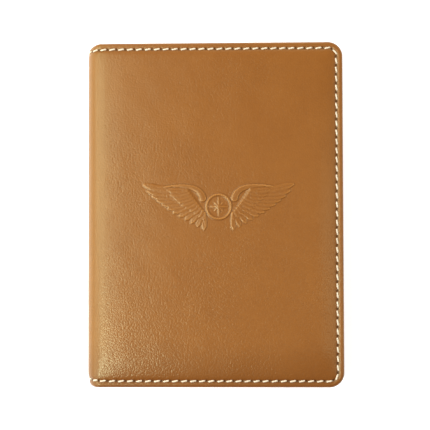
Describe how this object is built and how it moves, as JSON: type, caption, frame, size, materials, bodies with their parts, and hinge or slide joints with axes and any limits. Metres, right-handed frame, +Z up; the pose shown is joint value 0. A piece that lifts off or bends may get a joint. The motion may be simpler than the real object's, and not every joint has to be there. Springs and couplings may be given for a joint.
{
  "type": "passport case",
  "caption": "Closed bifold leather passport case with padded covers, contrast edge stitching, blind-embossed wings and inner pockets; its soft spine opens it flat.",
  "frame": {"origin": "centre of the closed case's footprint, on the surface that the back cover rests on", "axes": "+X from the spine to the fore-edge, +Y along the spine to the head, +Z up out of the front cover"},
  "size_m": [0.1043, 0.14, 0.016],
  "materials": {
    "outer_leather": "smooth tan leather with a fine pebble grain, satin",
    "pocket_leather": "thin smooth tan leather, creased along its mouths",
    "lining": "fine twill lining, matt brown",
    "board": "pressed leatherboard, fibrous and matt",
    "foam": "thin closed-cell padding, matt",
    "thread": "waxed cream sewing thread, twisted"
  },
  "bodies": {
    "back_cover": {"back_leather": "outer_leather", "back_foam": "foam", "back_board": "board", "back_lining": "lining", "passport_sleeve": "pocket_leather", "sleeve_mouth_thread": "thread", "back_needle_thread": "thread", "back_bobbin_thread": "thread"},
    "spine": {"spine_leather": "outer_leather", "spine_lining": "lining", "spine_needle_thread": "thread", "spine_bobbin_thread": "thread"},
    "front_cover": {"front_leather": "outer_leather", "front_foam": "foam", "front_board": "board", "front_lining": "lining", "slip_pocket": "pocket_leather", "card_pocket_top": "pocket_leather", "card_pocket_middle": "pocket_leather", "card_pocket_bottom": "pocket_leather", "card_pocket_thread": "thread", "front_needle_thread": "thread", "front_bobbin_thread": "thread"}
  },
  "joints": [
    {"name": "spine_fold", "type": "hinge", "parent": "back_cover", "child": "spine", "pos_m": [-0.05039, 0, 0.00281], "axis": [0, -1, 0], "range_deg": [0, 90]},
    {"name": "cover_fold", "type": "hinge", "parent": "spine", "child": "front_cover", "pos_m": [-0.05039, 0, 0.01319], "axis": [0, -1, 0], "range_deg": [0, 90]}
  ],
  "couplings": [
    {"joint": "cover_fold", "follows": "spine_fold", "ratio": 1}
  ]
}
